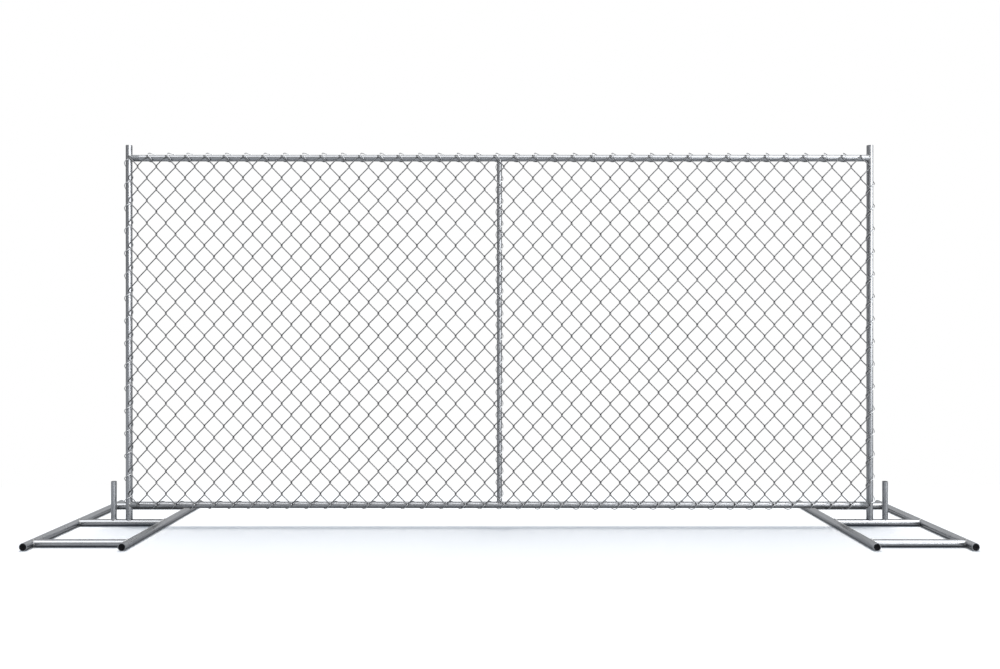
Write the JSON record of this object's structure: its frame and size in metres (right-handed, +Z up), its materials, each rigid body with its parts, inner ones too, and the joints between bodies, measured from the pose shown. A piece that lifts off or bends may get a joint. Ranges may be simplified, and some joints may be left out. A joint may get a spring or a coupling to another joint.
{
  "type": "chain link temporary fence panel",
  "caption": "Free-standing galvanised tube panel filled with chain link, on ladder-shaped feet with upright spigots for neighbouring panels.",
  "frame": {"origin": "on the floor under the middle of the panel", "axes": "+X along the panel to the right seen from the front, +Y towards the back, +Z up"},
  "size_m": [4.1636, 1.067, 1.8637],
  "materials": {
    "galvanised_steel": "hot-dip galvanised",
    "galvanised_wire": "galvanised wire",
    "black_plastic": "moulded black"
  },
  "bodies": {
    "root": {"bottom_rail": "galvanised_steel", "centre_post": "galvanised_steel", "left_foot_back_bar": "galvanised_steel", "left_foot_front_bar": "galvanised_steel", "left_foot_inner_rail": "galvanised_steel", "left_foot_middle_bar": "galvanised_steel", "left_foot_outer_rail": "galvanised_steel", "left_inner_back_plug": "black_plastic", "left_inner_front_plug": "black_plastic", "left_outer_back_plug": "black_plastic", "left_outer_front_plug": "black_plastic", "left_panel_spigot": "galvanised_steel", "left_post": "galvanised_steel", "left_spare_spigot": "galvanised_steel", "mesh_left_inner": "galvanised_wire", "mesh_left_outer": "galvanised_wire", "mesh_right_inner": "galvanised_wire", "mesh_right_outer": "galvanised_wire", "right_foot_back_bar": "galvanised_steel", "right_foot_front_bar": "galvanised_steel", "right_foot_inner_rail": "galvanised_steel", "right_foot_middle_bar": "galvanised_steel", "right_foot_outer_rail": "galvanised_steel", "right_inner_back_plug": "black_plastic", "right_inner_front_plug": "black_plastic", "right_outer_back_plug": "black_plastic", "right_outer_front_plug": "black_plastic", "right_panel_spigot": "galvanised_steel", "right_post": "galvanised_steel", "right_spare_spigot": "galvanised_steel", "top_rail": "galvanised_steel"}
  },
  "joints": []
}
